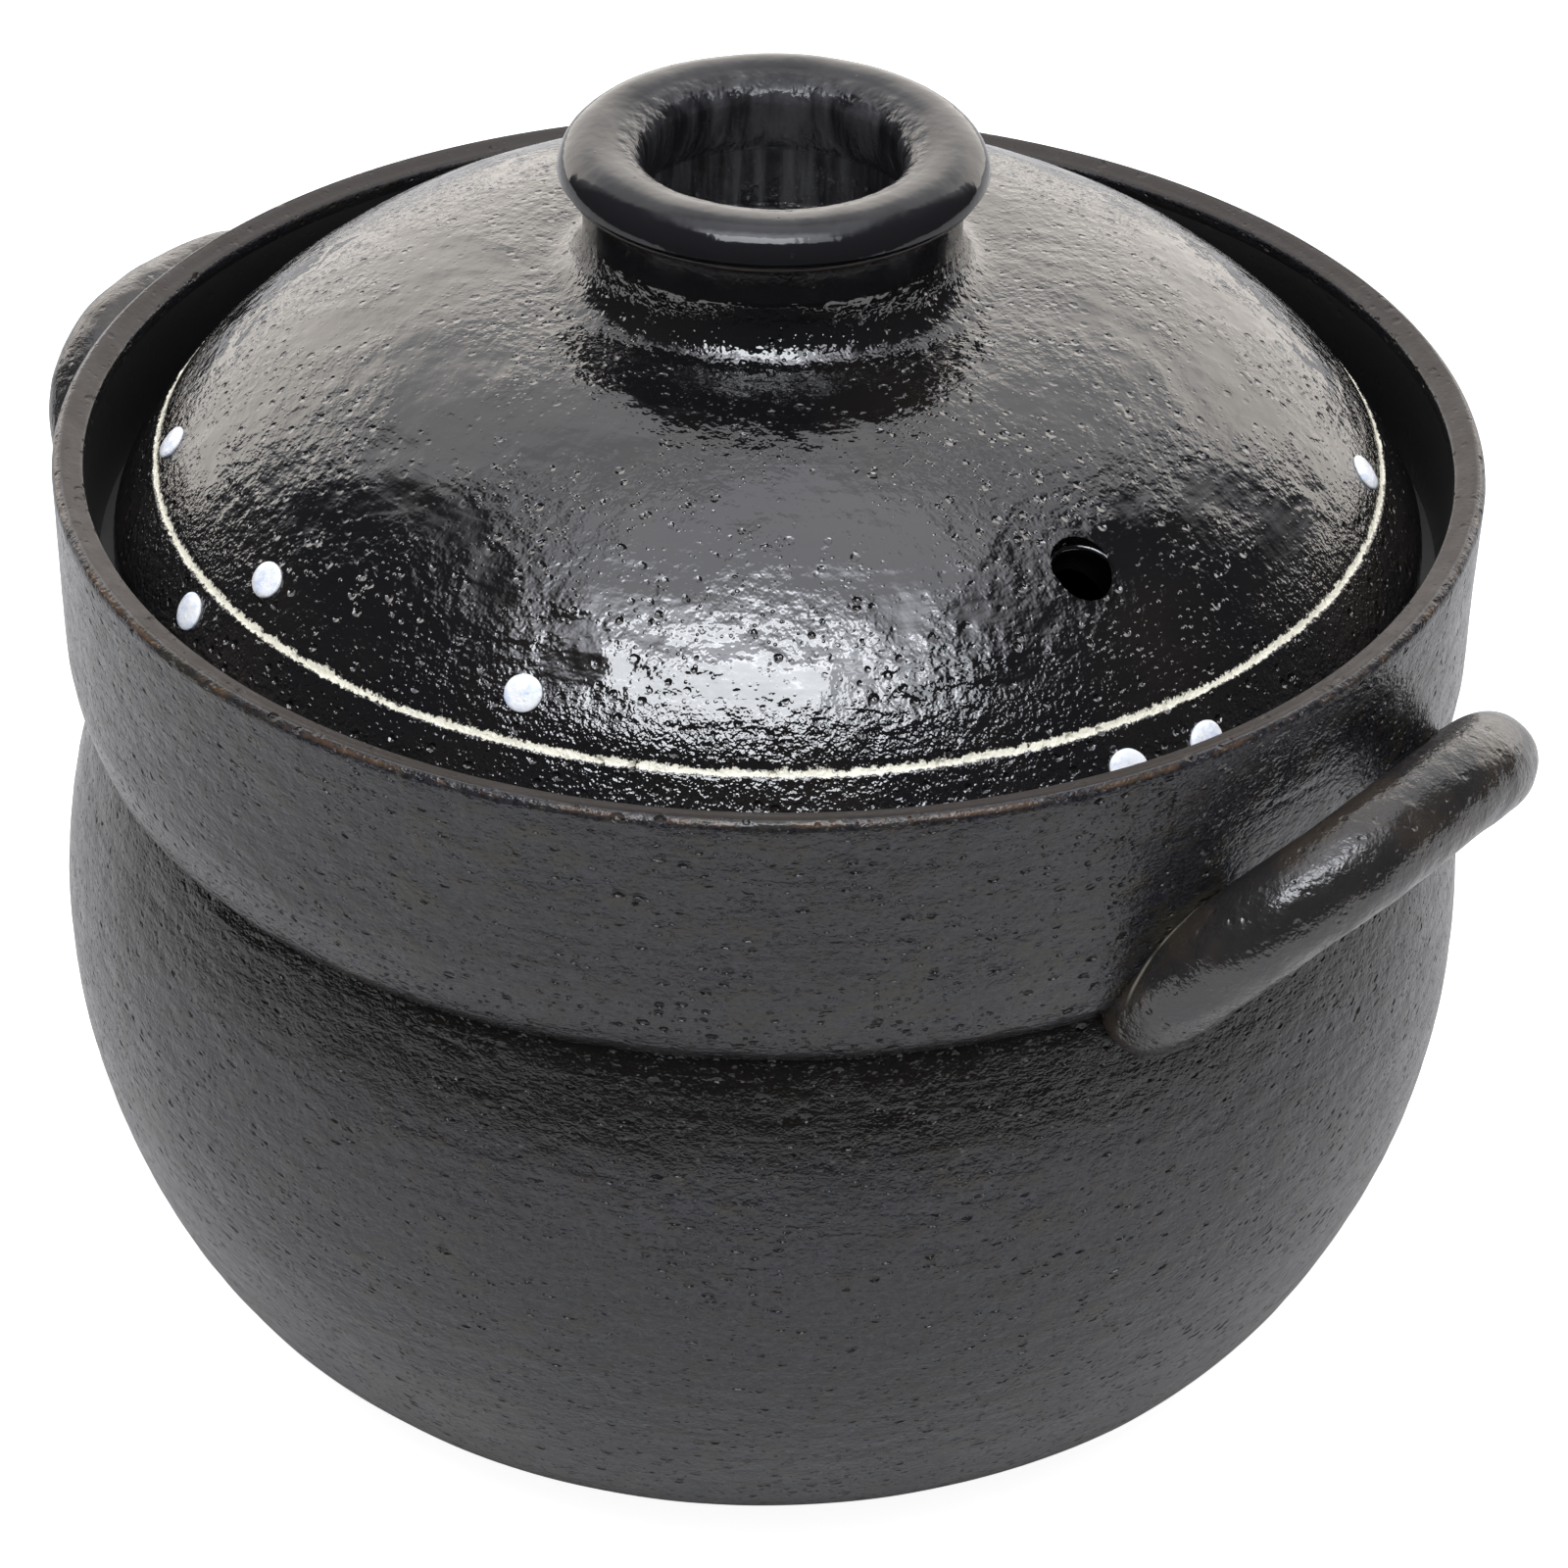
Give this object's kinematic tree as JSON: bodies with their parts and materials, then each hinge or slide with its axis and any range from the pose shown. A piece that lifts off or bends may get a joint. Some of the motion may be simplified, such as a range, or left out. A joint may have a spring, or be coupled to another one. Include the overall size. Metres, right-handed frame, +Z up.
{
  "type": "lidded clay rice pot",
  "caption": "Round-bellied clay pot with a deep collar, arched side handles, a recessed domed lid with an open ring knob and a flat inner lid.",
  "frame": {"origin": "centre of the flat foot, on the surface that the pot stands on", "axes": "+Z up along the thrown axis, +X towards one handle, so the handles lie along X"},
  "size_m": [0.2394, 0.2046, 0.1827],
  "materials": {
    "pot_glaze": "satin, pitted black iron glaze on coarse clay",
    "handle_glaze": "satin brown-black glaze",
    "lid_glaze": "glossy pebbled black glaze",
    "knob_glaze": "smooth glossy black glaze",
    "white_slip": "thick glossy white slip under clear glaze",
    "inner_glaze": "satin black glaze"
  },
  "bodies": {
    "pot": {"pot_body": "pot_glaze", "pot_collar": "pot_glaze", "handle_right": "handle_glaze", "handle_left": "handle_glaze"},
    "outer_lid": {"lid_dome": "lid_glaze", "lid_knob": "knob_glaze", "lid_slip_dots": "white_slip"},
    "inner_lid": {"inner_lid": "inner_glaze", "inner_lid_knob": "inner_glaze"}
  },
  "joints": [
    {"name": "lid_lift", "type": "slide", "parent": "pot", "child": "outer_lid", "axis": [0, 0, 1], "range_m": [0, 0.18]},
    {"name": "inner_lid_lift", "type": "slide", "parent": "pot", "child": "inner_lid", "axis": [0, 0, 1], "range_m": [0, 0.09]}
  ],
  "couplings": [
    {"joint": "inner_lid_lift", "follows": "lid_lift", "ratio": 0.5}
  ]
}
